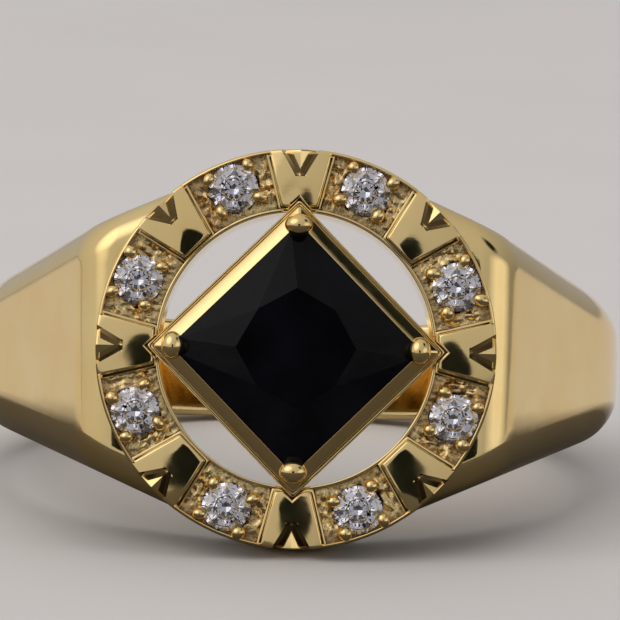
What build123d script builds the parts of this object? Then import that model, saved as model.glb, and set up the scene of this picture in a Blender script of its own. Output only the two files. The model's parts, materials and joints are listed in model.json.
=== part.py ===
"""Signet ring with a round halo head, a square centre stone and eight round accent stones.

The ring is modelled face up: +Z out of the face, the finger bore along Y, and the origin at the centre
of the bore. Every piece is then laid down in the pose in which the ring rests by itself, on the edge of
its head and the back of its band, with the face towards -Y and tilted up a little, and +Z straight up.
Millimetres throughout.
"""

from build123d import *
import os
from math import atan, atan2, cos, degrees, hypot, radians, sin, sqrt

os.makedirs("parts", exist_ok=True)

# ---------------------------------------------------------------- driving dimensions

# band and shoulders
bore_radius = 9.9            # about US size 10
band_radius = 11.65          # outside of the band
back_half_width = 1.65       # half of the band's width at the back of the finger
back_taper = 0.085           # half width that the band gains per millimetre, from its back to its waist
crown_round = 1.1            # rounding between the outside and the side walls

# head
halo_radius = 6.85           # outside of the round head
halo_opening = 4.7           # radius of the see-through middle
face_height = 13.2           # from the middle of the bore to the top of the blocks
halo_thickness = 1.8
seat_draft = 20.0            # degrees that the seat's wall leans in below the head
shelf_drop = 0.45            # shoulders meet the head this far below the face
shelf_half_length = 7.2      # where the shelf beside the head turns down into the shoulder
crease_round = 1.5           # rounding of that turn
shoulder_half_width = 5.4    # half width of the shoulders where they leave the head's outline
shoulder_taper = 0.44        # width lost per millimetre along X, each side

# blocks and fields around the halo
sections_around = 8
block_half_angle = 9.5       # degrees
field_depth = 0.35
outer_rim = 0.12             # wall left outside the fields
inner_rim = 0.12             # lower lip left inside the fields
inner_rim_drop = 0.2
notch_depth = 0.48           # the V notch at the rim
notch_half_width = 0.70
notch_floor_half_width = 0.55
notch_ridge_depth = 0.10     # of the ridge along its middle, at the rim
notch_apex_radius = 5.98
notch_apex_depth = 0.28      # the V's point has an upright wall this high
notch_apex_draft = 0.08

# centre stone, its collet and its claws
stone_half_side = 3.0
stone_corner_flat = 0.5      # width of the cut-off corners
stone_table_axis = 2.05      # table's corners that point at the stone's corners
stone_table_side = 1.86      # table's corners that point at the stone's sides
stone_table_height = 0.90    # above the face
stone_girdle_height = 0.40
stone_girdle = 0.08
stone_waist_depth = 1.30     # from the girdle down to the pavilion's break
stone_waist = 2.75
stone_depth = 2.60           # from the girdle down to the culet
collet_top = 3.02            # half sides of the square collet
collet_slope = 3.44
collet_rail = 3.60
collet_body = 3.30           # clear of the halo's opening below the rail
collet_base = 3.15
collet_groove = 0.05         # width of the groove inside the outer rail
collet_inside = 2.80
collet_inside_base = 2.45
collet_rail_height = 0.32
collet_slope_foot = 0.10     # where the sloping rim starts, above the face
collet_lip_gap = 0.02        # the rim stops this far below the girdle's top
collet_base_depth = 2.10     # below the face
claw_radius = 0.33
claw_head_radius = 0.41
claw_circle = 4.20
claw_head_height = 0.70      # middle of the ball above the face

# accent stones and their grains
accent_circle = 5.88
accent_radius = 0.84
accent_girdle_depth = 0.22   # girdle's lower edge below the face
accent_girdle = 0.04
accent_crown = 0.26
accent_pavilion = 0.73
accent_table = 0.56          # fractions of the stone's radius
accent_star = 0.76
accent_lower_half = 0.20
accent_hole_radius = 0.45
seat_clearance = 0.02
grain_radius = 0.22
grain_radial = 0.62          # grain centres from the stone's middle, along and across the radius
grain_across = 0.74
grain_height = 0.02          # middle of the grain's dome below the face

# resting pose
rest_tilt = 13.05            # degrees that the face leans back when the ring lies by itself


# ---------------------------------------------------------------- shared geometry

face = Plane.XY.offset(face_height)
field_floor = face.offset(-field_depth)
seat_height = face_height - halo_thickness
crease_height = face_height - shelf_drop
shoulder_far = hypot(shelf_half_length, crease_height)
crease_angle = degrees(atan2(shelf_half_length, crease_height))
tangent_angle = crease_angle + degrees(atan2(sqrt(shoulder_far**2 - band_radius**2), band_radius))


def lay_down(piece, name):
    """Give a finished piece its name and its resting pose, and write it."""
    piece.part.label = name
    piece.part.location = Location((0, 0, 0), (90 - rest_tilt, 0, 0))
    export_step(piece.part, f"parts/{name}.step")


# ---------------------------------------------------------------- accent stones

def brilliant_points():
    """Corners of a round brilliant with its table up and its girdle's lower edge at z = 0."""
    table_radius = accent_table * accent_radius
    table_height = accent_girdle + accent_crown
    crown_slope = accent_crown / (accent_radius - table_radius)
    pavilion_slope = accent_pavilion / accent_radius
    star_radius = accent_star * accent_radius
    lower_radius = accent_lower_half * accent_radius
    half_step = cos(radians(22.5))
    star_height = table_height - crown_slope * (star_radius * half_step - table_radius)
    lower_height = pavilion_slope * lower_radius * half_step - accent_pavilion
    rings = [
        (table_radius, table_height, 8, 0.0),
        (star_radius, star_height, 8, 22.5),
        (accent_radius, accent_girdle, 16, 0.0),
        (accent_radius, 0.0, 16, 0.0),
        (lower_radius, lower_height, 8, 22.5),
    ]
    points = [(0, 0, -accent_pavilion)]
    for radius, height, count, first in rings:
        for index in range(count):
            angle = radians(first + 360.0 * index / count)
            points.append((radius * cos(angle), radius * sin(angle), height))
    return points


accent_stones = []
accent_angles = [90.0 - 22.5 - 45.0 * index for index in range(sections_around)]
accent_plane = face.offset(-accent_girdle_depth)
for accent_angle in accent_angles:
    with BuildPart() as accent_stone:
        with Locations(accent_plane):
            with PolarLocations(accent_circle, 1, accent_angle):
                ConvexPolyhedron(brilliant_points())
    accent_stones.append(accent_stone)


# ---------------------------------------------------------------- centre stone

def centre_stone_points():
    """Corners of the square stone, whose own corners point along X and Y."""
    corner = stone_half_side * sqrt(2.0)
    cut = stone_corner_flat / 2.0
    points = [(0, 0, stone_girdle_height - stone_girdle - stone_depth)]
    for quarter in range(4):
        along = Vector(1, 0, 0).rotate(Axis.Z, 90.0 * quarter)
        across = Vector(0, 1, 0).rotate(Axis.Z, 90.0 * quarter)
        diagonal = (along + across).normalized()
        up = Vector(0, 0, 1)
        points.append(along * stone_table_axis + up * stone_table_height)
        points.append(diagonal * stone_table_side + up * stone_table_height)
        for side in (-cut, cut):
            outline = along * (corner - cut) + across * side
            points.append(outline + up * stone_girdle_height)
            points.append(outline + up * (stone_girdle_height - stone_girdle))
        points.append(along * stone_waist + up * (stone_girdle_height - stone_girdle - stone_waist_depth))
    return points


with BuildPart(face) as centre_stone:
    ConvexPolyhedron(centre_stone_points())


# ---------------------------------------------------------------- claws

claw_names = ["claw_right", "claw_top", "claw_left", "claw_bottom"]
claws = []
for quarter in range(4):
    with BuildPart(face.offset(-collet_base_depth)) as claw:
        with PolarLocations(claw_circle, 1, 90.0 * quarter):
            Cylinder(
                claw_radius,
                collet_base_depth + claw_head_height,
                align=(Align.CENTER, Align.CENTER, Align.MIN),
            )
        with Locations((0, 0, collet_base_depth + claw_head_height)):
            with PolarLocations(claw_circle, 1, 90.0 * quarter):
                Sphere(claw_head_radius)
        add(centre_stone.part, mode=Mode.SUBTRACT)
    claws.append(claw)


# ---------------------------------------------------------------- collet of the centre stone

rail_top = 0.0
rail_bottom = rail_top - collet_rail_height
slope_height = stone_girdle_height - collet_lip_gap - collet_slope_foot
slope_taper = degrees(atan((collet_slope - collet_top) / slope_height))
base_height = collet_base_depth + rail_bottom
base_taper = degrees(atan((collet_body - collet_base) / base_height))

with BuildPart() as centre_collet:
    with BuildSketch(face.offset(collet_slope_foot)):
        Rectangle(2 * collet_slope, 2 * collet_slope, rotation=45)
    extrude(amount=slope_height, taper=slope_taper)
    with BuildSketch(face.offset(rail_bottom)):
        Rectangle(2 * collet_slope, 2 * collet_slope, rotation=45)
    extrude(amount=collet_slope_foot - rail_bottom)
    with BuildSketch(face.offset(rail_bottom)):
        Rectangle(2 * collet_body, 2 * collet_body, rotation=45)
    extrude(amount=-base_height, taper=base_taper)
    with BuildSketch(face.offset(rail_bottom)):
        Rectangle(2 * collet_rail, 2 * collet_rail, rotation=45)
        Rectangle(2 * collet_slope, 2 * collet_slope, rotation=45, mode=Mode.SUBTRACT)
    extrude(amount=collet_rail_height / 2)
    with BuildSketch(face.offset(rail_bottom)):
        Rectangle(2 * collet_rail, 2 * collet_rail, rotation=45)
        groove_side = 2 * (collet_slope + collet_groove)
        Rectangle(groove_side, groove_side, rotation=45, mode=Mode.SUBTRACT)
    extrude(amount=collet_rail_height)
    with BuildSketch(face.offset(-collet_base_depth)):
        Rectangle(2 * collet_inside_base, 2 * collet_inside_base, rotation=45)
    inside_height = collet_base_depth + stone_girdle_height
    inside_taper = degrees(atan((collet_inside - collet_inside_base) / inside_height))
    extrude(amount=inside_height, taper=-inside_taper, mode=Mode.SUBTRACT)
    add(centre_stone.part, mode=Mode.SUBTRACT)
    for claw in claws:
        add(claw.part, mode=Mode.SUBTRACT)


# ---------------------------------------------------------------- halo head

def sector(radius_in, radius_out, half_angle, middle=0.0):
    """Sketch of a piece of a ring between two radii, standing about an angle."""
    first = middle - half_angle
    last = middle + half_angle
    with BuildSketch(mode=Mode.PRIVATE) as piece:
        with BuildLine():
            outer = CenterArc((0, 0), radius_out, first, 2 * half_angle)
            inner = CenterArc((0, 0), radius_in, first, 2 * half_angle)
            Line(outer @ 0, inner @ 0)
            Line(outer @ 1, inner @ 1)
        make_face()
    return piece.sketch


def notch_points(side):
    """Corners of one half of the V notch, which opens at the rim of a block that points along +X."""
    clear = 0.1
    beyond = halo_radius + clear
    grow = (beyond - notch_apex_radius) / (halo_radius - notch_apex_radius)
    return [
        (notch_apex_radius, 0, 0),
        (notch_apex_radius + notch_apex_draft, 0, -notch_apex_depth),
        (notch_apex_radius, 0, clear),
        (beyond, 0, clear),
        (beyond, side * notch_half_width * grow, clear),
        (beyond, side * notch_half_width * grow, 0),
        (beyond, side * notch_floor_half_width * grow, -notch_depth * grow),
        (beyond, 0, -notch_ridge_depth * grow),
    ]


pavilion_slope = accent_pavilion / accent_radius
seat_angle = 2 * degrees(atan(1 / pavilion_slope))
seat_radius = accent_radius - (field_depth - accent_girdle_depth) / pavilion_slope + seat_clearance

field_half_angle = 180.0 / sections_around - block_half_angle

with BuildPart() as halo_head:
    with BuildSketch(face):
        Circle(halo_radius)
        Circle(halo_opening, mode=Mode.SUBTRACT)
    extrude(amount=-halo_thickness)
    # fields between the blocks, and the lower lip along the inside of each
    for accent_angle in accent_angles:
        with BuildSketch(face):
            inside = halo_opening + inner_rim
            outside = halo_radius - outer_rim
            add(sector(inside, outside, field_half_angle, accent_angle))
        extrude(amount=-field_depth, mode=Mode.SUBTRACT)
        with BuildSketch(face):
            add(sector(halo_opening - inner_rim, outside - outer_rim, field_half_angle, accent_angle))
        extrude(amount=-inner_rim_drop, mode=Mode.SUBTRACT)
    for side in (-1, 1):
        with Locations(face):
            with PolarLocations(0, sections_around):
                ConvexPolyhedron(notch_points(side), mode=Mode.SUBTRACT)
    with Locations(field_floor):
        for accent_angle in accent_angles:
            with PolarLocations(accent_circle, 1, accent_angle):
                CounterSinkHole(accent_hole_radius, seat_radius, halo_thickness, seat_angle)
    with BuildSketch(face.offset(rail_bottom)):
        Rectangle(2 * collet_rail, 2 * collet_rail, rotation=45)
    extrude(amount=halo_thickness, mode=Mode.SUBTRACT)


# ---------------------------------------------------------------- grains

grain_groups = []
for accent_angle, accent_stone in zip(accent_angles, accent_stones):
    with BuildPart() as grains:
        with Locations(field_floor):
            with PolarLocations(accent_circle, 1, accent_angle):
                with GridLocations(2 * grain_radial, 2 * grain_across, 2, 2):
                    Cylinder(
                        grain_radius,
                        field_depth - grain_height,
                        align=(Align.CENTER, Align.CENTER, Align.MIN),
                    )
        with Locations(face.offset(-grain_height)):
            with PolarLocations(accent_circle, 1, accent_angle):
                with GridLocations(2 * grain_radial, 2 * grain_across, 2, 2):
                    Sphere(grain_radius)
        add(accent_stone.part, mode=Mode.SUBTRACT)
    grain_groups.append(grains)


# ---------------------------------------------------------------- shank

leaves_head = sqrt(halo_radius**2 - shoulder_half_width**2)


def shoulder_half_width_at(reach):
    """Half width of the shoulders, seen face on, at a distance along X from the middle."""
    return shoulder_half_width - shoulder_taper * (reach - leaves_head)


def back_half_width_at(height):
    """Half width of the back of the band, seen from the side, at a height along Z."""
    return back_half_width + back_taper * (height + band_radius)


margin = 1.0
reach_end = band_radius + margin
low_end = -band_radius - margin

with BuildPart() as shank:
    # side view of the outside: a flat shelf, two straight shoulders and the round band
    with BuildSketch(Plane.XZ.offset(-halo_radius)):
        with BuildLine():
            band = CenterArc((0, 0), band_radius, 90 - tangent_angle, 2 * tangent_angle - 360)
            Polyline(
                band @ 0,
                (shelf_half_length, crease_height),
                (-shelf_half_length, crease_height),
                band @ 1,
            )
        make_face()
    extrude(amount=2 * halo_radius)
    # face-on outline of the shoulders
    with BuildSketch(Plane.XY.offset(low_end)):
        end_half_width = shoulder_half_width_at(reach_end)
        Polygon(
            (leaves_head, shoulder_half_width),
            (reach_end, end_half_width),
            (reach_end, -end_half_width),
            (leaves_head, -shoulder_half_width),
            (-leaves_head, -shoulder_half_width),
            (-reach_end, -end_half_width),
            (-reach_end, end_half_width),
            (-leaves_head, shoulder_half_width),
            align=None,
        )
    extrude(amount=face_height - low_end, mode=Mode.INTERSECT)
    # outline seen from the side: narrow at the back, a slow taper to the waist, then open to the head
    with BuildSketch(Plane.YZ.offset(-reach_end)):
        half_outline = [
            (back_half_width_at(low_end), low_end),
            (back_half_width_at(0), 0),
            (halo_radius, face_height),
        ]
        Polygon(*half_outline, *[(-across, height) for across, height in reversed(half_outline)], align=None)
    extrude(amount=2 * reach_end, mode=Mode.INTERSECT)
    fillet(shank.edges().filter_by(Axis.Y).group_by(Axis.Z)[-1], crease_round)
    # crown: round every edge between the outside and a side wall
    walls = shank.faces().filter_by(GeomType.PLANE).filter_by(lambda wall: abs(wall.normal_at().Y) > 0.3)
    wall_edges = [edge for wall in walls for edge in wall.edges()]
    crown_edges = [edge for edge in wall_edges if sum(edge.is_same(other) for other in wall_edges) == 1]
    fillet(crown_edges, crown_round)
    # round seat for the head, and the pocket that the head stands in
    with BuildSketch(Plane.XY.offset(seat_height)):
        Circle(halo_radius)
    extrude(amount=-halo_radius, taper=seat_draft)
    with BuildSketch(Plane.XY.offset(seat_height)):
        Circle(halo_radius)
    extrude(amount=2 * halo_thickness, mode=Mode.SUBTRACT)
    with BuildSketch(Plane.XY):
        Circle(halo_opening)
    extrude(amount=face_height, mode=Mode.SUBTRACT)
    # finger bore
    with BuildSketch(Plane.XZ.offset(-2 * halo_radius)):
        Circle(bore_radius)
    extrude(amount=4 * halo_radius, mode=Mode.SUBTRACT)
    # holes under the accent stones
    with Locations(Plane.XY.offset(seat_height)):
        for accent_angle in accent_angles:
            with PolarLocations(accent_circle, 1, accent_angle):
                Hole(accent_hole_radius, depth=halo_radius)


# ---------------------------------------------------------------- finished pieces

lay_down(shank, "shank")
lay_down(halo_head, "halo_head")
lay_down(centre_collet, "centre_collet")
lay_down(centre_stone, "centre_stone")
for name, claw in zip(claw_names, claws):
    lay_down(claw, name)
for number, accent_stone in enumerate(accent_stones, start=1):
    lay_down(accent_stone, f"accent_stone_{number}")
for number, grains in enumerate(grain_groups, start=1):
    lay_down(grains, f"accent_grains_{number}")
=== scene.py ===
"""Looks of the signet ring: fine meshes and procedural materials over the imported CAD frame.

Shapes are written in bench millimetres, as in the CAD: the finger bore runs along Y, +Z points out of
the face and the origin is the centre of the bore. lay_down() turns them into the row frame, in metres.
"""

import json
import math
import random

import bmesh
import bpy
import numpy as np
from mathutils import Matrix, Vector


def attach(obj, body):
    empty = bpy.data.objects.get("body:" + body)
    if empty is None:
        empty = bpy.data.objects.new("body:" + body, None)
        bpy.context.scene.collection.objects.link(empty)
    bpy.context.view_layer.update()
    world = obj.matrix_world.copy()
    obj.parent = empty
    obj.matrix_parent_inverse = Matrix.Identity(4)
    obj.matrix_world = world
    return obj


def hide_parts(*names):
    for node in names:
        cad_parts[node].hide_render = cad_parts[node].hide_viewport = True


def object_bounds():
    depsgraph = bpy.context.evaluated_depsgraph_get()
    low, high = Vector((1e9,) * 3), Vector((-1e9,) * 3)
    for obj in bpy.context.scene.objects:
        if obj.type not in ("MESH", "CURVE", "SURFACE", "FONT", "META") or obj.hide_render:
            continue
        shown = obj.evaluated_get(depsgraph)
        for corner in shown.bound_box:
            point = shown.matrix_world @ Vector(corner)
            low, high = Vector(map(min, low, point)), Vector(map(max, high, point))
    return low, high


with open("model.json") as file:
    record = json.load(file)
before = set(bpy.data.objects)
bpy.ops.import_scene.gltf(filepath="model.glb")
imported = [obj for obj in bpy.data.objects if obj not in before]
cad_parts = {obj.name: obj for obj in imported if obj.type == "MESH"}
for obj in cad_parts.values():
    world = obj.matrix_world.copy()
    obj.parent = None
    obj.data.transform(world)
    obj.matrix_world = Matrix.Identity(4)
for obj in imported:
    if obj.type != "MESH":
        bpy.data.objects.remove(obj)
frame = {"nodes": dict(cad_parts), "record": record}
packed_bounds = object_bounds()

MM = 0.001
bore_axis = frame["record"]["mounts"][0]["axis"]
LEAN_SIN = bore_axis[1]
LEAN_COS = bore_axis[2]
BENCH_TO_ROW = Matrix((
    (MM, 0, 0, 0),
    (0, LEAN_SIN * MM, -LEAN_COS * MM, 0),
    (0, LEAN_COS * MM, LEAN_SIN * MM, 0),
    (0, 0, 0, 1),
))
FLOOR_HEIGHT = packed_bounds[0].z

# ---------------------------------------------------------------- sizes, in bench millimetres

BORE_RADIUS = frame["record"]["mounts"][0]["dims"]["r_mm"]
BAND_RADIUS = 11.65
BACK_HALF_WIDTH = 1.65
BACK_TAPER = 0.060
CROWN_ROUND = 1.1
BORE_EDGE_ROUND = 0.2
HALO_RADIUS = 6.85
HALO_OPENING = 4.7
FACE_HEIGHT = 13.2
SEAT_DEPTH = 1.8
SEAT_DRAFT = math.radians(20.0)
SEAT_FOOT_GAP = 0.35
SEAT_EDGE_ROUND = 0.03
SEAT_BORE_GAP = 0.02
SURFACE_GAP = 0.004
POCKET_FLOOR_GAP = 0.002
POCKET_WALL_GAP = 0.003
SHELF_DROP = 0.45
SHELF_HALF_LENGTH = 7.2
CREASE_ROUND = 1.5
SHOULDER_HALF_WIDTH = 5.4
SHOULDER_TAPER = 0.44
LEAVES_HEAD = math.sqrt(HALO_RADIUS ** 2 - SHOULDER_HALF_WIDTH ** 2)
SECTIONS = 8
BLOCK_START = 4.85
BLOCK_HALF_WIDTH = 0.60
BLOCK_WIDENING = 0.262
BLOCK_ZONE = math.radians(8.7)
ZONE_RAMP = math.radians(0.5)
FIELD_DEPTH = 0.35
RIM_WIDTH = 0.12
RIM_DROP = 0.52
BED_DROP = 0.25
RIPPLE_HEIGHT = 0.036
LIP_DROP = 0.2
CORNER_REACH = 0.55
CORNER_DROP = 0.2
STONE_CIRCLE = 5.88
STONE_HOLE = 0.45
HOLE_FOOT = 2.0
SEAT_RADIUS = 0.865
GRAIN_RADIUS = 0.22
TOP_WAVES = 0.0035
GRAIN_OFFSETS = ((0.62, 0.74), (0.62, -0.74), (-0.62, 0.74), (-0.62, -0.74))
CLAW_CIRCLE = 4.2
CLAW_RADIUS = 0.33
CLAW_HEAD = 0.41
CLAW_HEAD_HEIGHT = 0.70
CLAW_HEAD_WIDER = 0.18
CLAW_HEAD_SHORTER = 0.06
COLLET_BASE = -2.10

rng = random.Random(7)


# ---------------------------------------------------------------- mesh helpers

def make_piece(name, points, faces, materials, crease=35.0):
    """Mesh object from bench points, still in bench millimetres."""
    mesh = bpy.data.meshes.new(name)
    mesh.from_pydata([tuple(p) for p in points], [], faces)
    mesh.validate()
    piece = bpy.data.objects.new(name, mesh)
    bpy.context.scene.collection.objects.link(piece)
    for material in materials:
        mesh.materials.append(material)
    piece["crease"] = crease
    return piece


def grid_faces(rows, columns, wrap_rows=False, wrap_columns=False):
    """Quads over a grid of points stored row by row."""
    faces = []
    for i in range(rows if wrap_rows else rows - 1):
        for j in range(columns if wrap_columns else columns - 1):
            a = i * columns + j
            b = i * columns + (j + 1) % columns
            c = ((i + 1) % rows) * columns + (j + 1) % columns
            d = ((i + 1) % rows) * columns + j
            faces.append((a, b, c, d))
    return faces


def turned(x, y, angle):
    """A place in the face's plane, turned about its middle."""
    return x * math.cos(angle) - y * math.sin(angle), x * math.sin(angle) + y * math.cos(angle)


def soften(corners, radius, steps=3, closed=True):
    """Corners of a flat outline with each corner rounded; a corner may carry its own radius."""
    count = len(corners)
    out = []
    for i, corner in enumerate(corners):
        here = np.array(corner[:2], float)
        bend = corner[2] if len(corner) > 2 else radius
        if not closed and i in (0, count - 1) or bend == 0:
            out.append(tuple(here))
            continue
        before = np.array(corners[i - 1][:2], float)
        after = np.array(corners[(i + 1) % count][:2], float)
        u = (before - here) / np.linalg.norm(before - here)
        v = (after - here) / np.linalg.norm(after - here)
        turn = math.pi - math.acos(max(-1.0, min(1.0, float(u @ v))))
        reach = bend * math.tan(turn / 2)
        reach = min(reach, 0.49 * np.linalg.norm(before - here), 0.49 * np.linalg.norm(after - here))
        for k in range(steps + 1):
            t = k / steps
            a = here + u * reach * (1 - t) ** 2 + v * reach * t ** 2
            out.append(tuple(a))
    return out


def join_shells(name, shells, materials, crease=35.0):
    """One object from several closed shells of points, faces and, for some, the faces' slots."""
    points = []
    faces = []
    slots = []
    for shell in shells:
        shell_points, shell_faces = shell[:2]
        start = len(points)
        points.extend(shell_points)
        faces.extend(tuple(start + index for index in face) for face in shell_faces)
        slots.extend(shell[2] if len(shell) > 2 else [0] * len(shell_faces))
    piece = make_piece(name, points, faces, materials, crease)
    if len(piece.data.polygons) == len(slots):
        piece.data.polygons.foreach_set("material_index", slots)
    return piece


def lathe(profile, segments, middle=(0.0, 0.0)):
    """Closed shell: an outline of (radius, height) corners from axis to axis, spun about Z."""
    off_axis = [corner for corner in profile if corner[0] > 1e-6]
    points = []
    for k in range(segments):
        angle = 2 * math.pi * k / segments
        for radius, height in off_axis:
            x = middle[0] + radius * math.cos(angle)
            y = middle[1] + radius * math.sin(angle)
            points.append((x, y, height))
    faces = grid_faces(segments, len(off_axis), wrap_rows=True)
    low = len(points)
    high = low + 1
    points.append((middle[0], middle[1], profile[0][1]))
    points.append((middle[0], middle[1], profile[-1][1]))
    for k in range(segments):
        first = k * len(off_axis)
        following = (k + 1) % segments * len(off_axis)
        last = len(off_axis) - 1
        faces.append((low, first, following))
        faces.append((high, following + last, first + last))
    return points, faces


def outward(piece):
    """Turn every face of the piece outwards."""
    bm = bmesh.new()
    bm.from_mesh(piece.data)
    bmesh.ops.recalc_face_normals(bm, faces=bm.faces)
    bm.to_mesh(piece.data)
    bm.free()


def combine(piece, tool, operation):
    """Join the tool to the piece, or cut it away, and drop the tool."""
    outward(tool)
    outward(piece)
    step = piece.modifiers.new("combine", "BOOLEAN")
    step.operation = operation
    step.solver = "EXACT"
    step.object = tool
    bpy.context.view_layer.update()
    graph = bpy.context.evaluated_depsgraph_get()
    made = bpy.data.meshes.new_from_object(piece.evaluated_get(graph))
    piece.modifiers.clear()
    old = piece.data
    piece.data = made
    bpy.data.meshes.remove(old)
    bpy.data.objects.remove(tool)


def lay_down(piece, replaced):
    """Finish a piece: row frame, smooth shading with crisp creases, body, and its CAD node hidden."""
    outward(piece)
    piece.data.transform(BENCH_TO_ROW)
    piece.data.shade_smooth()
    piece.data.set_sharp_from_angle(angle=math.radians(piece["crease"]))
    del piece["crease"]
    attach(piece, "root")
    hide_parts(replaced)


# ---------------------------------------------------------------- materials

def new_material(name):
    """Material with one shader, and the tree to link its inputs in."""
    material = bpy.data.materials.new(name)
    material.use_nodes = True
    tree = material.node_tree
    tree.nodes.clear()
    out = tree.nodes.new("ShaderNodeOutputMaterial")
    shader = tree.nodes.new("ShaderNodeBsdfPrincipled")
    tree.links.new(shader.outputs["BSDF"], out.inputs["Surface"])
    return material, tree, shader


def add_noise(tree, scale, detail, stretch=None):
    """Noise in object coordinates; scale is in features per metre."""
    place = tree.nodes.new("ShaderNodeTexCoord")
    noise = tree.nodes.new("ShaderNodeTexNoise")
    noise.inputs["Scale"].default_value = scale
    noise.inputs["Detail"].default_value = detail
    source = place.outputs["Object"]
    if stretch:
        mapping = tree.nodes.new("ShaderNodeMapping")
        mapping.inputs["Rotation"].default_value = stretch[1]
        mapping.inputs["Scale"].default_value = stretch[0]
        tree.links.new(source, mapping.inputs["Vector"])
        source = mapping.outputs["Vector"]
    tree.links.new(source, noise.inputs["Vector"])
    return noise.outputs["Fac"]


def add_range(tree, value, low, high, from_low=0.3, from_high=0.7):
    """Spread a value over low to high; the defaults suit a noise."""
    node = tree.nodes.new("ShaderNodeMapRange")
    node.inputs["From Min"].default_value = from_low
    node.inputs["From Max"].default_value = from_high
    node.inputs["To Min"].default_value = low
    node.inputs["To Max"].default_value = high
    tree.links.new(value, node.inputs["Value"])
    return node.outputs["Result"]


def add_mix(tree, factor, first, second):
    node = tree.nodes.new("ShaderNodeMix")
    node.data_type = "RGBA"
    for socket, value in ((node.inputs[6], first), (node.inputs[7], second)):
        if isinstance(value, tuple):
            socket.default_value = (*value, 1.0)
        else:
            tree.links.new(value, socket)
    tree.links.new(factor, node.inputs[0])
    return node.outputs[2]


def add_bump(tree, height, strength, distance, below=None):
    node = tree.nodes.new("ShaderNodeBump")
    node.inputs["Strength"].default_value = strength
    node.inputs["Distance"].default_value = distance
    tree.links.new(height, node.inputs["Height"])
    if below is not None:
        tree.links.new(below, node.inputs["Normal"])
    return node.outputs["Normal"]


def gold(name, light, deep, smooth, rough, dents, scratches, grain=0.0, painted_shade=None):
    """Yellow gold: two close tints, patchy gloss, soft dents, hairline scratches and cut marks, and,
    when a shade colour is given, painted shade that darkens the crevices.
    """
    material, tree, shader = new_material(name)
    tint = add_range(tree, add_noise(tree, 420.0, 4.0), 0.0, 1.0)
    colour = add_mix(tree, tint, light, deep)
    # painted shade: ambient occlusion mixes the shade colour into the gold wherever the surface lies in
    # a crevice or recess
    if painted_shade:
        crevice = tree.nodes.new("ShaderNodeAmbientOcclusion")
        crevice.inputs["Distance"].default_value = 0.5 * MM
        crevice.samples = 6
        openness = add_range(tree, crevice.outputs["AO"], 0.0, 1.0, 0.25, 0.8)
        colour = add_mix(tree, openness, painted_shade, colour)
    tree.links.new(colour, shader.inputs["Base Color"])
    shader.inputs["Metallic"].default_value = 1.0
    gloss = add_range(tree, add_noise(tree, 1300.0, 6.0), smooth, rough, 0.35, 0.75)
    tree.links.new(gloss, shader.inputs["Roughness"])
    normal = add_bump(tree, add_noise(tree, 520.0, 1.0), dents, 0.00006)
    hair = add_noise(tree, 900.0, 3.0, ((1.0, 14.0, 1.0), (0.3, 0.5, 0.9)))
    normal = add_bump(tree, hair, scratches, 0.00001, normal)
    if grain:
        normal = add_bump(tree, add_noise(tree, 9000.0, 4.0), grain, 0.00004, normal)
    tree.links.new(normal, shader.inputs["Normal"])
    return material


POLISHED = gold(
    "polished_gold", (0.96, 0.75, 0.37), (0.93, 0.68, 0.30),
    smooth=0.045, rough=0.14, dents=0.11, scratches=0.12)
# gold of the sunk fields, with dark brown painted shade in their recesses around stones and beads
BRIGHT_CUT = gold(
    "bright_cut_gold", (0.95, 0.76, 0.38), (0.66, 0.45, 0.21),
    smooth=0.09, rough=0.30, dents=0.10, scratches=0.10, grain=0.6, painted_shade=(0.26, 0.14, 0.06))


def clear_stone_material():
    material, tree, shader = new_material("clear_stone")
    tint = add_range(tree, add_noise(tree, 900.0, 2.0), 0.0, 1.0)
    colour = add_mix(tree, tint, (0.94, 0.93, 1.0), (0.80, 0.79, 0.93))
    tree.links.new(colour, shader.inputs["Base Color"])
    shader.inputs["Transmission Weight"].default_value = 1.0
    shader.inputs["IOR"].default_value = 2.4
    gloss = add_range(tree, add_noise(tree, 2600.0, 3.0), 0.0, 0.02)
    tree.links.new(gloss, shader.inputs["Roughness"])
    return material


def black_stone_material():
    material, tree, shader = new_material("black_stone")
    tint = add_range(tree, add_noise(tree, 500.0, 3.0), 0.0, 1.0)
    colour = add_mix(tree, tint, (0.0015, 0.0015, 0.002), (0.004, 0.004, 0.006))
    tree.links.new(colour, shader.inputs["Base Color"])
    shader.inputs["IOR"].default_value = 1.5
    shader.inputs["Specular IOR Level"].default_value = 0.12
    gloss = add_range(tree, add_noise(tree, 1700.0, 5.0), 0.02, 0.07)
    tree.links.new(gloss, shader.inputs["Roughness"])
    normal = add_bump(tree, add_noise(tree, 700.0, 1.0), 0.02, 0.00004)
    tree.links.new(normal, shader.inputs["Normal"])
    return material


# painted shade: the notch walls' gold is tinted near-black brown to stand in for the dark they mirror
# deep in the V notches, with painted crevice shade added
NOTCH_WALL_PAINTED_SHADE = gold(
    "notch_wall_painted_shade_gold", (0.09, 0.062, 0.035), (0.03, 0.021, 0.013),
    smooth=0.10, rough=0.25, dents=0.10, scratches=0.10, painted_shade=(0.05, 0.03, 0.015))
CLEAR = clear_stone_material()
BLACK = black_stone_material()


# ---------------------------------------------------------------- shank

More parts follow.
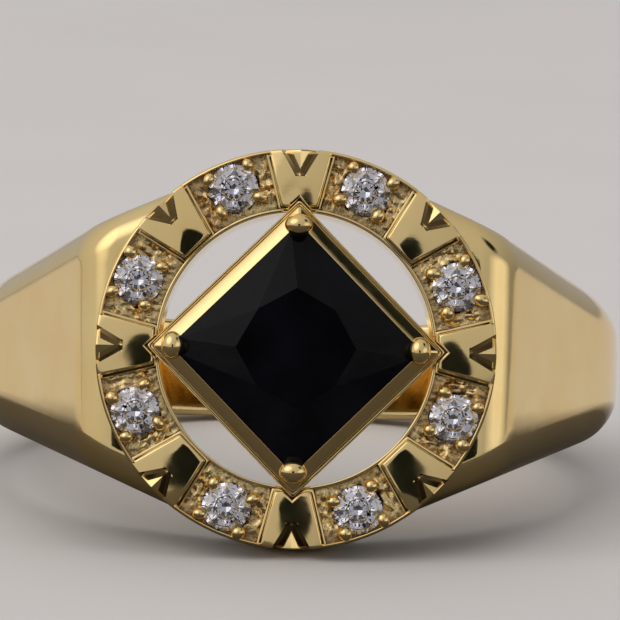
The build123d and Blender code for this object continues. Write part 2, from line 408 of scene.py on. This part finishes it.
def side_outline():
    """Outside of the ring seen along the bore, from the middle of the head right round to it again."""
    shelf = FACE_HEIGHT - SHELF_DROP
    far = math.hypot(SHELF_HALF_LENGTH, shelf)
    tangent = math.atan2(SHELF_HALF_LENGTH, shelf) + math.atan2(
        math.sqrt(far ** 2 - BAND_RADIUS ** 2), BAND_RADIUS)
    touch = np.array((BAND_RADIUS * math.sin(tangent), BAND_RADIUS * math.cos(tangent)))
    corner = np.array((SHELF_HALF_LENGTH, shelf))
    down = (touch - corner) / np.linalg.norm(touch - corner)
    turn = math.acos(float(down @ np.array((1.0, 0.0))))
    reach = CREASE_ROUND * math.tan(turn / 2)
    start = corner - np.array((reach, 0.0))
    centre = start - np.array((0.0, CREASE_ROUND))
    points = [(x, shelf) for x in np.linspace(0.0, start[0], 30)[:-1]]
    for angle in np.linspace(0.0, turn, 30):
        x = centre[0] + CREASE_ROUND * math.sin(angle)
        points.append((x, centre[1] + CREASE_ROUND * math.cos(angle)))
    foot = np.array(points[-1])
    for t in np.linspace(0.0, 1.0, 40)[1:]:
        points.append(tuple(foot + (touch - foot) * t))
    for angle in np.linspace(tangent, math.pi, 150)[1:]:
        points.append((BAND_RADIUS * math.sin(angle), BAND_RADIUS * math.cos(angle)))
    mirrored = [(-x, z) for x, z in points[-2:0:-1]]
    return points + mirrored


def half_width(x, z):
    """Half width of the ring at a place seen along the bore: the narrower of two outlines, blended."""
    plan = SHOULDER_HALF_WIDTH - SHOULDER_TAPER * max(0.0, abs(x) - LEAVES_HEAD)
    waist = BACK_HALF_WIDTH + BACK_TAPER * BAND_RADIUS
    back = waist + (BACK_TAPER * z if z < 0 else (HALO_RADIUS - waist) * z / FACE_HEIGHT)
    blend = 0.10
    least = min(plan, back)
    nearness = math.exp(-(plan - least) / blend) + math.exp(-(back - least) / blend)
    return least - blend * math.log(nearness)


def shank_section(x, z):
    """One closed section: half, from the outside's middle to the bore's, and then its mirror."""
    outer = math.hypot(x, z)
    across, up = x / outer, z / outer

    def width(radius):
        return half_width(radius * across, radius * up)

    full = width(outer)
    crown = min(CROWN_ROUND, 0.9 * full)
    points = [(outer, t * (full - crown)) for t in np.linspace(0.0, 1.0, 9)]
    for angle in np.linspace(0.0, math.pi / 2, 15)[1:]:
        radius = outer - crown * (1 - math.cos(angle))
        points.append((radius, width(radius) - crown * (1 - math.sin(angle))))
    wall_top = outer - crown
    wall_foot = BORE_RADIUS + BORE_EDGE_ROUND
    for t in np.linspace(0.0, 1.0, 7)[1:]:
        radius = wall_top + (wall_foot - wall_top) * t
        points.append((radius, width(radius)))
    for angle in np.linspace(0.0, math.pi / 2, 5)[1:]:
        radius = wall_foot - BORE_EDGE_ROUND * math.sin(angle)
        points.append((radius, width(radius) - BORE_EDGE_ROUND * (1 - math.cos(angle))))
    inner_edge = points[-1][1]
    for t in np.linspace(1.0, 0.0, 7)[1:]:
        points.append((BORE_RADIUS, inner_edge * t))
    doming = 0.05
    shaped = []
    for radius, y in points:
        share = max(0.0, (radius - wall_top) / crown)
        shaped.append((radius - doming * share * (y / full) ** 2, y))
    ring = shaped + [(radius, -y) for radius, y in shaped[-2:0:-1]]
    return [(radius * across, y, radius * up) for radius, y in ring]


def make_shank():
    stations = side_outline()
    sections = [shank_section(x, z) for x, z in stations]
    points = [point for section in sections for point in section]
    faces = grid_faces(len(sections), len(sections[0]), wrap_rows=True, wrap_columns=True)
    shank = make_piece("ring_shank", points, faces, [POLISHED], 40.0)

    # the seat under the head, kept clear of the finger's room
    seat_top = FACE_HEIGHT - SEAT_DEPTH
    seat_depth = HALO_RADIUS - SEAT_FOOT_GAP
    foot_radius = HALO_RADIUS - seat_depth * math.tan(SEAT_DRAFT)
    seat_profile = soften(
        [(0, seat_top - seat_depth, 0), (foot_radius, seat_top - seat_depth, 0),
         (HALO_RADIUS - SURFACE_GAP, seat_top, SEAT_EDGE_ROUND), (0, seat_top, 0)], 0.0, closed=False)
    seat = make_piece("seat", *lathe(seat_profile, 192), [POLISHED])
    bore_steps = 240
    bore_points = []
    for y in (-2 * HALO_RADIUS, 2 * HALO_RADIUS):
        for k in range(bore_steps):
            angle = 2 * math.pi * k / bore_steps
            radius = BORE_RADIUS + SEAT_BORE_GAP
            bore_points.append((radius * math.sin(angle), y, radius * math.cos(angle)))
    bore_faces = grid_faces(2, bore_steps, wrap_columns=True)
    bore_faces.append(tuple(range(bore_steps)))
    bore_faces.append(tuple(range(2 * bore_steps - 1, bore_steps - 1, -1)))
    combine(seat, make_piece("bore", bore_points, bore_faces, []), "DIFFERENCE")
    combine(shank, seat, "UNION")

    # the pocket that the head stands in, and the light holes
    floor = seat_top + POCKET_FLOOR_GAP
    wall = HALO_RADIUS + POCKET_WALL_GAP
    above = 2 * FACE_HEIGHT
    pocket_profile = [
        (0, 0), (HALO_OPENING, 0), (HALO_OPENING, floor),
        (wall, floor), (wall, above), (0, above),
    ]
    combine(shank, make_piece("pocket", *lathe(pocket_profile, 192), []), "DIFFERENCE")
    shells = []
    for k in range(SECTIONS):
        angle = math.pi * (2 * k + 1) / SECTIONS
        middle = (STONE_CIRCLE * math.cos(angle), STONE_CIRCLE * math.sin(angle))
        hole = [(0, HOLE_FOOT), (STONE_HOLE, HOLE_FOOT), (STONE_HOLE, FACE_HEIGHT), (0, FACE_HEIGHT)]
        shells.append(lathe(hole, 32, middle))
    combine(shank, join_shells("holes", shells, []), "DIFFERENCE")
    lay_down(shank, "shank")


# ---------------------------------------------------------------- halo head

def block_share(angle):
    """1 inside the nearest block's zone, 0 outside it, with a short ramp between."""
    step = 2 * math.pi / SECTIONS
    off = abs((angle + step / 2) % step - step / 2)
    return max(0.0, min(1.0, (BLOCK_ZONE - off) / ZONE_RAMP + 0.5))


def field_ripple(segments, width):
    """Smoothed random heights for the rough-cut floor of the fields."""
    bumps = np.random.default_rng(11).normal(0.0, 1.0, (segments, width))
    for _ in range(2):
        total = bumps
        for shift, axis in ((1, 0), (1, 1), (-1, 0), (-1, 1)):
            total = total + np.roll(bumps, shift, axis)
        bumps = total / 5
    return bumps * (RIPPLE_HEIGHT / bumps.std())


def make_base_ring():
    """Lip, floor and rim. Rim and floor drop under the blocks, the lip at the collet's corners."""
    floor = FACE_HEIGHT - FIELD_DEPTH
    bottom = FACE_HEIGHT - SEAT_DEPTH
    inner_floor = HALO_OPENING + RIM_WIDTH
    outer_floor = HALO_RADIUS - RIM_WIDTH
    lip_round, rim_round, rim_bevel = 0.035, 0.03, 0.075
    segments = 720
    floor_points = 30
    floor_places = [
        inner_floor + (outer_floor - inner_floor) * t for t in np.linspace(0.004, 0.996, floor_points)]
    bumps = field_ripple(segments, 2 * floor_points)
    points = []
    slots = []
    for k in range(segments):
        angle = 2 * math.pi * k / segments
        block = block_share(angle)
        axis_off = abs((angle + math.pi / 4) % (math.pi / 2) - math.pi / 4)
        corner = 1.0 if axis_off * HALO_OPENING < CORNER_REACH else 0.0
        rim = FACE_HEIGHT - RIM_DROP * block
        lip = FACE_HEIGHT - LIP_DROP - CORNER_DROP * corner
        bed = floor - BED_DROP * block
        ring = [
            (HALO_OPENING, bottom + 0.06), (HALO_OPENING, floor - 0.3), (HALO_OPENING, lip - lip_round),
            (HALO_OPENING + 0.012, lip - 0.01), (HALO_OPENING + lip_round, lip),
            (inner_floor - lip_round, lip), (inner_floor - 0.01, lip - 0.01),
            (inner_floor, lip - lip_round),
        ]
        first_bed = len(ring) - 1
        for i, radius in enumerate(floor_places):
            from_end = min(i, floor_points - 1 - i)
            ring.append((radius, bed + bumps[k, i] * min(1.0, 4 * from_end / (floor_points - 1))))
        ring += [
            (outer_floor, rim - rim_round), (outer_floor + 0.01, rim - 0.01),
            (outer_floor + rim_round, rim), (HALO_RADIUS - rim_bevel, rim),
            (HALO_RADIUS - 0.025, rim - 0.025), (HALO_RADIUS, rim - rim_bevel),
            (HALO_RADIUS, floor - 0.4), (HALO_RADIUS, bottom + 0.04),
            (HALO_RADIUS - 0.04, bottom), (HALO_OPENING + 0.06, bottom),
        ]
        for radius, height in ring:
            points.append((radius * math.cos(angle), radius * math.sin(angle), height))
        slots += [1 if first_bed <= i < first_bed + floor_points else 0 for i in range(len(ring))]
    faces = grid_faces(segments, len(ring), wrap_rows=True, wrap_columns=True)
    base = make_piece("ring_halo_head", points, faces, [POLISHED, BRIGHT_CUT], 40.0)
    base.data.polygons.foreach_set("material_index", slots)

    # a countersunk seat and a light hole for each accent stone
    below, above = bottom - 1.0, FACE_HEIGHT + 0.5
    seat = [
        (0, below), (STONE_HOLE, below), (STONE_HOLE, floor - 0.20), (0.72, floor),
        (SEAT_RADIUS, FACE_HEIGHT - 0.225), (SEAT_RADIUS, above), (0, above),
    ]
    shells = []
    for k in range(SECTIONS):
        angle = 2 * math.pi / SECTIONS * (k + 0.5)
        shells.append(lathe(seat, 48, (STONE_CIRCLE * math.cos(angle), STONE_CIRCLE * math.sin(angle))))
    combine(base, join_shells("seats", shells, [POLISHED]), "DIFFERENCE")
    return base


EDGE_ARC = [(1 - math.cos(a), 1 - math.sin(a)) for a in np.linspace(0.0, math.pi / 2, 5)]


def block_rows(bevel):
    """Rows from the inner end to the rim: place along, drop below the top, and whether a skirt."""
    rows = [(0.0, 0.0, True)]
    rows += [(bevel * inset, bevel * drop, False) for inset, drop in EDGE_ARC]
    shares = [*np.linspace(0.0, 0.9, 10)[1:], 0.95, 0.985, 1.0, 1.03, 1.06, 1.09, 1.13]
    shares += [*np.linspace(1.1, 2.0, 13)[1:-1]]
    rows += [(share, None, False) for share in shares]
    rows += [(-bevel * inset, bevel * drop, False) for inset, drop in reversed(EDGE_ARC)]
    rows.append((0.0, 0.0, True))
    return rows


def block_columns():
    """Columns from flank to flank: kind, share of the way across, share of the drop, and side."""
    half = [("floor", t, t) for t in (0.0, 0.06, 0.35, 0.65, 0.93, 1.0)]
    half += [("wall", t, 1.0 - t) for t in (0.08, 0.35, 0.65, 0.92)]
    half.append(("wall", 1.0, 0.0))
    half += [("arm", t, 0.0) for t in np.linspace(0.0, 1.0, 10)[1:]]
    half += [("edge", inset, drop) for inset, drop in reversed(EDGE_ARC)][1:]
    half.append(("skirt", 0.0, 0.0))
    other_half = [(kind, a, b, -1) for kind, a, b in half[:0:-1]]
    return other_half + [(kind, a, b, 1) for kind, a, b in half]


def block_top_waves():
    """Random waves, as heading, pitch and phase, that stop the block's top being too even."""
    waves = []
    for _ in range(4):
        heading = rng.uniform(0.0, 2 * math.pi)
        pitch = rng.uniform(3.0, 5.5)
        phase = rng.uniform(0.0, 2 * math.pi)
        waves.append((heading, pitch, phase))
    return waves


def block_shell(angle, on_axis, plinth):
    """One block: domed top, rounded edges and a V notch at the rim; or the low plinth around it."""
    bevel = 0.05 if plinth else 0.07
    top_height = -0.17 if plinth else 0.0
    skirt = -0.65
    skirt_flare = 0.0 if plinth else 0.2
    wider = 0.13 if plinth else 0.0
    start = 4.76 if plinth else 4.86
    collet_corner = 5.15
    end_radius = HALO_RADIUS - RIM_WIDTH + 0.02 if plinth else HALO_RADIUS + 0.003
    apex = 5.92 if on_axis else 6.02
    notch_rim, notch_wall, narrowest = 0.70, 0.16, 0.012
    notch_gap = 0.03 if plinth else 0.0
    plinth_notch_start = 5.4
    dome_middle, dome_half_width, dome_across, dome_along = 5.35, 1.1, 0.09, 0.045
    notch_depth, ridge_depth, apex_depth, apex_draft = 0.41, 0.15, 0.28, 0.08
    rows = block_rows(bevel)
    columns = block_columns()
    waves = block_top_waves()

    def flank(x):
        return BLOCK_HALF_WIDTH + BLOCK_WIDENING * (x - BLOCK_START) + wider

    def inner_end(y):
        return max(start, collet_corner - abs(y)) if on_axis else start

    def outer_end(y):
        return math.sqrt(end_radius ** 2 - y ** 2)

    def waviness(x, y):
        return sum(
            math.sin(pitch * (x * math.cos(heading) + y * math.sin(heading)) + phase)
            for heading, pitch, phase in waves) * TOP_WAVES

    def place_along(row_index, y):
        along, row_drop, row_skirt = rows[row_index]
        low, high = inner_end(y), outer_end(y)
        if row_skirt:
            return low if row_index == 0 else high
        if row_drop is not None:
            return low + along if along > 0 or row_index == 1 else high + along
        if along > 1.0:
            return apex + (high - bevel - apex) * (along - 1.0)
        return low + bevel + (apex - low - bevel) * along

    def place_across(kind, share, x, open_share):
        foot = max((notch_rim - notch_wall) * open_share, narrowest)
        cut = foot + notch_wall + notch_gap
        if kind == "floor":
            return foot * share
        if kind == "wall":
            return foot + (cut - foot) * share
        if kind == "arm":
            return cut + (flank(x) - bevel - cut) * share
        if kind == "edge":
            return flank(x) - bevel * share
        return flank(x) + skirt_flare

    points = []
    for row_index, (_, row_drop, row_skirt) in enumerate(rows):
        for kind, a, b, side in columns:
            y = 0.0
            for _ in range(3):
                x = place_along(row_index, y)
                open_share = max(0.0, (x - apex) / (HALO_RADIUS - apex))
                y = place_across(kind, a, x, open_share) * side
            height = top_height
            if not plinth:
                dome = dome_across * (y / dome_half_width) ** 2 + dome_along * (x - dome_middle) ** 2
                height -= dome + waviness(x, y) + 3 * TOP_WAVES
            in_notch = kind == "floor" or kind == "wall" and a < 1.0
            if in_notch and plinth:
                height = skirt if x > plinth_notch_start else height
            elif in_notch and open_share > 0:
                foot_depth = apex_depth + (notch_depth - apex_depth) * open_share
                crest_depth = apex_depth + (ridge_depth - apex_depth) * open_share
                depth = foot_depth * b
                if kind == "floor":
                    depth = crest_depth + (foot_depth - crest_depth) * b
                height -= depth * min(1.0, (x - apex) / apex_draft)
            if not row_skirt and row_drop is not None:
                height -= row_drop
            if kind == "edge":
                height -= bevel * b
            if row_skirt or kind == "skirt":
                height = skirt
            points.append((*turned(x, y, angle), FACE_HEIGHT + height))

    count = len(columns)
    faces = grid_faces(len(rows), count)
    # upright notch walls past the apex take slot 1, the near-black painted shade
    notch_shade_slots = []
    for i in range(len(rows) - 1):
        past_apex = rows[i + 1][0] >= 1.0 and rows[i + 1][1] is None
        for j in range(count - 1):
            beside = (columns[j][:2], columns[j + 1][:2])
            upright = all(kind == "wall" or (kind, t) == ("floor", 1.0) for kind, t in beside)
            notch_shade_slots.append(1 if upright and past_apex else 0)

    # one face closes the shell from below
    border = list(range(count))
    border += [i * count + count - 1 for i in range(1, len(rows))]
    border += [len(rows) * count - 1 - j for j in range(1, count)]
    border += [i * count for i in range(len(rows) - 2, 0, -1)]
    faces.append(tuple(border[::-1]))
    notch_shade_slots.append(0)
    return points, faces, notch_shade_slots


def make_halo_head():
    base = make_base_ring()
    shells = []
    for k in range(SECTIONS):
        angle = 2 * math.pi * k / SECTIONS
        shells.append(block_shell(angle, k % 2 == 0, False))
        shells.append(block_shell(angle, k % 2 == 0, True))
    blocks = join_shells("blocks", shells, [POLISHED, NOTCH_WALL_PAINTED_SHADE])
    outward(blocks)
    outward(base)
    bm = bmesh.new()
    bm.from_mesh(base.data)
    bm.faces.ensure_lookup_table()
    base_faces = len(bm.faces)
    bm.from_mesh(blocks.data)
    bm.faces.ensure_lookup_table()
    # the blocks' second material, the painted shade of the notch walls, is the joined mesh's third
    for block_face in bm.faces[base_faces:]:
        block_face.material_index *= 2
    base.data.materials.append(NOTCH_WALL_PAINTED_SHADE)
    bm.to_mesh(base.data)
    bm.free()
    bpy.data.objects.remove(blocks)
    lay_down(base, "halo_head")


# ---------------------------------------------------------------- collet, claws and grains

def make_collet():
    """Square collet with mitred, slightly rounded corners that point along X and Y."""
    profile = soften([
        (2.45, COLLET_BASE, 0.04), (3.15, COLLET_BASE, 0.06), (3.30, -0.32, 0.02),
        (3.60, -0.32, 0.03), (3.60, 0.0, 0.03), (3.50, 0.0, 0.03), (3.49, -0.15, 0.01),
        (3.445, -0.15, 0.01), (3.44, 0.10, 0.02), (3.03, 0.385, 0.015), (2.97, 0.30, 0.02),
        (2.785, 0.04, 0.05),
    ], 0.02, 3)
    corner_round = 0.10
    corner_steps = 5
    side_steps = 6
    outline = []
    for quarter in range(4):
        base = math.pi / 2 * quarter
        for k in range(corner_steps + 1):
            outline.append((base, -math.pi / 4 + math.pi / 2 * k / corner_steps, 0.0))
        for k in range(1, side_steps):
            outline.append((base, math.pi / 4, k / side_steps))
    points = []
    for base, turn, share in outline:
        for half_side, height in profile:
            reach = half_side * math.sqrt(2.0) - corner_round * math.sqrt(2.0)
            along = reach + corner_round * math.cos(turn)
            across = corner_round * math.sin(turn)
            x, y = turned(along, across, base)
            if share:
                next_x, next_y = turned(along, -across, base + math.pi / 2)
                x, y = x + (next_x - x) * share, y + (next_y - y) * share
            points.append((x, y, FACE_HEIGHT + height))
    faces = grid_faces(len(outline), len(profile), wrap_rows=True, wrap_columns=True)
    collet = make_piece("ring_centre_collet", points, faces, [POLISHED], 30.0)
    lay_down(collet, "centre_collet")


def make_claw(name, quarter):
    """Wire with a bead, a little wider across than along."""
    base = FACE_HEIGHT + COLLET_BASE
    centre = FACE_HEIGHT + CLAW_HEAD_HEIGHT
    meet = math.asin(CLAW_RADIUS / CLAW_HEAD)
    wire_length = centre - base - CLAW_HEAD * math.cos(meet)
    profile = [
        (0, base), (CLAW_RADIUS - 0.06, base), (CLAW_RADIUS - 0.02, base + 0.02),
        (CLAW_RADIUS, base + 0.06),
    ]
    profile += [(CLAW_RADIUS, base + t) for t in np.linspace(0.3, wire_length, 5)]
    for angle in np.linspace(math.pi - meet, 0.0, 26)[1:]:
        profile.append((max(0.0, CLAW_HEAD * math.sin(angle)), centre + CLAW_HEAD * math.cos(angle)))
    points, faces = lathe(profile, 40)
    oval_start, oval_blend = 0.3, 0.3
    placed = []
    for x, y, z in points:
        oval = max(0.0, min(1.0, (z - FACE_HEIGHT - oval_start) / oval_blend))
        along = CLAW_CIRCLE + x * (1 - CLAW_HEAD_SHORTER * oval)
        across = y * (1 + CLAW_HEAD_WIDER * oval)
        placed.append((*turned(along, across, math.pi / 2 * quarter), z))
    lay_down(make_piece("ring_" + name, placed, faces, [POLISHED], 60.0), name)


def make_grains(number):
    """Four beads raised from the field and pushed over the edge of one accent stone."""
    angle = math.pi / 2 - math.pi / 8 - math.pi / 4 * (number - 1)
    floor = FACE_HEIGHT - FIELD_DEPTH - 0.05
    stray = 0.04
    shells = []
    for along, across in GRAIN_OFFSETS:
        radius = GRAIN_RADIUS * rng.uniform(0.98, 1.18)
        along = along * 0.97 + rng.uniform(-stray, stray)
        across = across * 0.95 + rng.uniform(-stray, stray)
        centre = FACE_HEIGHT - 0.02 - rng.uniform(0.0, 0.05)
        lean = rng.uniform(0.0, 2 * math.pi)
        oval = rng.uniform(0.84, 1.16)
        profile = [(0, floor), (radius * 1.12, floor), (radius * 1.02, floor + 0.08)]
        profile += [(radius, floor + t) for t in np.linspace(0.15, centre - floor, 3)]
        for a in np.linspace(math.pi / 2, 0.0, 10)[1:]:
            profile.append((max(0.0, radius * math.sin(a)), centre + radius * 0.95 * math.cos(a)))
        points, faces = lathe(profile, 24)
        placed = []
        for x, y, z in points:
            u, v = turned(x, y, -lean)
            x, y = turned(u * oval, v / oval, lean)
            placed.append((*turned(STONE_CIRCLE + along + x, across + y, angle), z))
        shells.append((placed, faces))
    name = f"accent_grains_{number}"
    lay_down(join_shells("ring_" + name, shells, [POLISHED], 60.0), name)


make_shank()
make_halo_head()
make_collet()
for quarter, name in enumerate(("claw_right", "claw_top", "claw_left", "claw_bottom")):
    make_claw(name, quarter)
for number in range(1, SECTIONS + 1):
    make_grains(number)


# ---------------------------------------------------------------- stones: the CAD's own facets

def dress(node, material):
    """Give a CAD node its material, with flat facets."""
    piece = frame["nodes"][node]
    piece.data.materials.clear()
    piece.data.materials.append(material)
    for polygon in piece.data.polygons:
        polygon.use_smooth = False
        polygon.material_index = 0


dress("centre_stone", BLACK)
for number in range(1, SECTIONS + 1):
    dress(f"accent_stone_{number}", CLEAR)


# ---------------------------------------------------------------- floor, cards and lights

def stage_material(name, colour):
    material, tree, shader = new_material(name)
    tint = add_range(tree, add_noise(tree, 180.0, 3.0), 0.0, 1.0)
    darker = tuple(0.97 * c for c in colour)
    tree.links.new(add_mix(tree, tint, colour, darker), shader.inputs["Base Color"])
    shader.inputs["Roughness"].default_value = 0.8
    return material


def fading_material(name, colour, solid_share, glow=0.0):
    """Card material that is solid in the middle and fades out towards the card's rim."""
    material, tree, shader = new_material(name)
    tint = add_range(tree, add_noise(tree, 2.0, 3.0), 0.0, 1.0)
    darker = tuple(0.9 * c for c in colour)
    tree.links.new(add_mix(tree, tint, colour, darker), shader.inputs["Base Color"])
    shader.inputs["Roughness"].default_value = 0.9
    shader.inputs["Emission Color"].default_value = (1.0, 0.97, 0.93, 1.0)
    shader.inputs["Emission Strength"].default_value = glow
    place = tree.nodes.new("ShaderNodeTexCoord")
    reach = tree.nodes.new("ShaderNodeVectorMath")
    reach.operation = "LENGTH"
    tree.links.new(place.outputs["Object"], reach.inputs[0])
    fade = add_range(tree, reach.outputs["Value"], 1.0, 0.0, solid_share, 1.0)
    tree.links.new(fade, shader.inputs["Alpha"])
    return material


def sheet(name, centre, across, up, material, seen):
    """Flat rectangle of the stage. One that isn't seen is only there to be mirrored in the ring."""
    centre, across, up = Vector(centre), Vector(across), Vector(up)
    mesh = bpy.data.meshes.new(name)
    mesh.from_pydata([(-1, -1, 0), (1, -1, 0), (1, 1, 0), (-1, 1, 0)], [], [(0, 1, 2, 3)])
    mesh.materials.append(material)
    card = bpy.data.objects.new(name, mesh)
    bpy.context.scene.collection.objects.link(card)
    facing = across.cross(up).normalized()
    card.matrix_world = Matrix((
        (across.x, up.x, facing.x, centre.x),
        (across.y, up.y, facing.y, centre.y),
        (across.z, up.z, facing.z, centre.z),
        (0, 0, 0, 1),
    ))
    if not seen:
        card.visible_camera = False
        card.visible_shadow = False
        card.visible_diffuse = False


FLOOR = stage_material("floor", (0.60, 0.575, 0.57))
GLOW = fading_material("glow_card", (0.5, 0.5, 0.5), 0.45, glow=1.15)
SOFT_GLOW = fading_material("soft_glow_card", (0.5, 0.5, 0.5), 0.35, glow=0.52)
SHADE = fading_material("shade_card", (0.004, 0.009, 0.008), 0.45)
DARK = fading_material("dark_card", (0.004, 0.009, 0.008), 0.93)
LOW = fading_material("low_card", (0.075, 0.068, 0.062), 0.96)
sheet("floor", (0, 0, FLOOR_HEIGHT), (3.0, 0, 0), (0, 3.0, 0), FLOOR, True)

FACE_CENTRE = BENCH_TO_ROW @ Vector((0, 0, FACE_HEIGHT))
CAMERA_DISTANCE = 0.200
CAMERA_RISE = math.radians(11.0)
CAMERA_ROLL = math.radians(1.4)
LENS = 340.8
CENTRE_OFFSET = (-0.4770 * MM, -1.3288 * MM)

toward = Vector((0, -math.cos(CAMERA_RISE), math.sin(CAMERA_RISE)))
right = Vector((1, 0, 0))
up = toward.cross(right)
camera_place = FACE_CENTRE + toward * CAMERA_DISTANCE
rolled_right = right * math.cos(CAMERA_ROLL) + up * math.sin(CAMERA_ROLL)
rolled_up = up * math.cos(CAMERA_ROLL) - right * math.sin(CAMERA_ROLL)
aim = FACE_CENTRE - rolled_right * CENTRE_OFFSET[0] - rolled_up * CENTRE_OFFSET[1]
back = (camera_place - aim).normalized()
side = rolled_up.cross(back).normalized()
top = back.cross(side)

camera_data = bpy.data.cameras.new("camera")
camera_data.lens = LENS
camera_data.sensor_width = 36.0
camera_data.clip_start = 0.01
camera_data.clip_end = 20.0
camera = bpy.data.objects.new("camera", camera_data)
bpy.context.scene.collection.objects.link(camera)
camera.matrix_world = Matrix((
    (side.x, top.x, back.x, camera_place.x),
    (side.y, top.y, back.y, camera_place.y),
    (side.z, top.z, back.z, camera_place.z),
    (0, 0, 0, 1),
))
bpy.context.scene.camera = camera

card_place = camera_place + back * 0.02 + side * 0.006 - top * 0.008
sheet("card_behind_camera", card_place, side * 0.035, top * 0.047, DARK, False)
sheet("card_low_front", (0.0, -0.17, FLOOR_HEIGHT + 0.0003), (0.25, 0, 0), (0, 0.182, 0), LOW, False)
sheet(
    "card_upper_right", (0.166, -0.048, 0.18), (0.029, 0.047, -0.023), (-0.035, 0.035, 0.053),
    SHADE, False)


def glow_card(name, centre, half_across, half_up, material):
    """Glowing card that faces the ring."""
    across = centre.cross(Vector((0, 0, 1))).normalized()
    upward = across.cross(centre.normalized())
    sheet(name, centre, across * half_across, upward * half_up, material, False)


KEY_PLACE = Vector((-0.30, -0.25, 0.35))
glow_card("card_glow_left", KEY_PLACE, 0.33, 0.33, GLOW)
glow_card("card_glow_right", Vector((0.30, -0.17, 0.07)), 0.24, 0.13, SOFT_GLOW)


def soft_light(name, place, size, power, colour):
    """Soft rectangle of light that faces the ring and isn't mirrored in the gold."""
    data = bpy.data.lights.new(name, "AREA")
    data.shape = "RECTANGLE"
    data.size, data.size_y = size
    data.energy = power
    data.color = colour
    lamp = bpy.data.objects.new(name, data)
    bpy.context.scene.collection.objects.link(lamp)
    lamp.location = place
    lamp.rotation_mode = "QUATERNION"
    lamp.rotation_quaternion = Vector(place).to_track_quat("Z", "Y")
    lamp.visible_glossy = False


soft_light("key_left", KEY_PLACE, (0.55, 0.55), 1.2, (1.0, 0.97, 0.93))
soft_light("top", (0.05, 0.10, 0.45), (0.45, 0.45), 0.65, (1.0, 0.98, 0.96))
soft_light("fill_right", (0.40, -0.10, 0.20), (0.15, 0.20), 0.12, (0.95, 0.97, 1.0))

world = bpy.data.worlds.new("studio")
world.use_nodes = True
sky = world.node_tree
place = sky.nodes.new("ShaderNodeTexCoord")
slant = sky.nodes.new("ShaderNodeVectorMath")
slant.operation = "DOT_PRODUCT"
slant.inputs[1].default_value = (-0.62, -0.20, 0.76)
sky.links.new(place.outputs["Generated"], slant.inputs[0])
glow = add_range(sky, slant.outputs["Value"], 0.0, 1.0, -0.9, 0.9)
background = sky.nodes["Background"]
sky_colour = add_mix(sky, glow, (0.34, 0.35, 0.37), (0.98, 0.96, 0.94))
sky.links.new(sky_colour, background.inputs["Color"])
background.inputs["Strength"].default_value = 0.61
bpy.context.scene.world = world
bpy.context.scene.view_settings.view_transform = "Standard"
